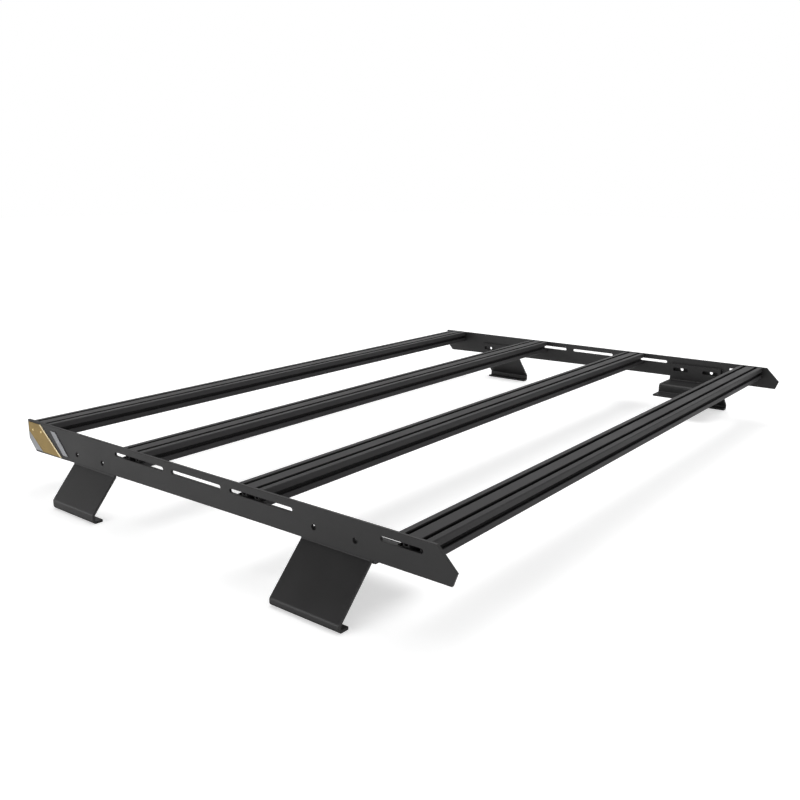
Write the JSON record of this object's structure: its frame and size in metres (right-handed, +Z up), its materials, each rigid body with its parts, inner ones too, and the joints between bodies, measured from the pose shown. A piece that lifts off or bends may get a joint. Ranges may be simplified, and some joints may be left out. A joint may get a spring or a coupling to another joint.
{
  "type": "flat platform roof rack",
  "caption": "Low open roof rack: slotted crossbars between two thin side plates, carried on bent sheet feet that stand outside the plates.",
  "frame": {"origin": "on the surface that the feet stand on, under the middle of the rack's box", "axes": "+X to the rack's right across the vehicle, +Y to the front, +Z up"},
  "size_m": [1.392, 0.914, 0.124],
  "materials": {
    "powder_coat_plate": "satin black powder coat",
    "powder_coat_bar": "satin black powder coat",
    "powder_coat_foot": "satin black powder coat",
    "gold_panel": "satin gold anodised",
    "silver_strip": "satin clear anodised"
  },
  "bodies": {
    "root": {"side_plate_left": "powder_coat_plate", "side_plate_right": "powder_coat_plate", "crossbar_front": "powder_coat_bar", "crossbar_second": "powder_coat_bar", "crossbar_third": "powder_coat_bar", "crossbar_rear": "powder_coat_bar", "foot_front_left": "powder_coat_foot", "foot_front_right": "powder_coat_foot", "foot_rear_left": "powder_coat_foot", "foot_rear_right": "powder_coat_foot", "inner_rest_left": "powder_coat_foot", "inner_rest_right": "powder_coat_foot", "end_panel_left": "gold_panel", "end_panel_right": "gold_panel", "nose_strip_left": "silver_strip", "nose_strip_right": "silver_strip", "band_strip_left": "silver_strip", "band_strip_right": "silver_strip"}
  },
  "joints": []
}
